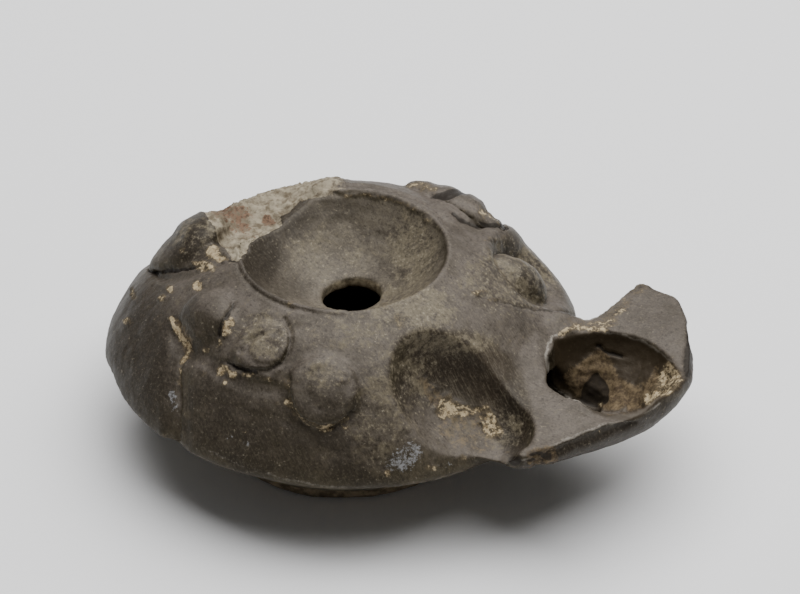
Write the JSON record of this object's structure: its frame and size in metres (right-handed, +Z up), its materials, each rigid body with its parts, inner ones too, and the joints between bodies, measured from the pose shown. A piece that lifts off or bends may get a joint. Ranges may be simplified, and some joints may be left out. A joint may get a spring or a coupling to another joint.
{
  "type": "ancient terracotta oil lamp",
  "caption": "Small mould-made clay oil lamp with a dished top, a filling hole, an anchor-shaped nozzle with a wick hole, and a broken handle.",
  "frame": {"origin": "on the body's axis, at the underside of the foot", "axes": "+X from the body towards the nozzle, +Z up, +Y to the left of the nozzle"},
  "size_m": [0.0878, 0.068, 0.0323],
  "materials": {
    "fired_clay": "worn dark grey-brown slip with a dull sheen, dusty and encrusted"
  },
  "bodies": {
    "root": {"lamp_body": "fired_clay"}
  },
  "joints": []
}
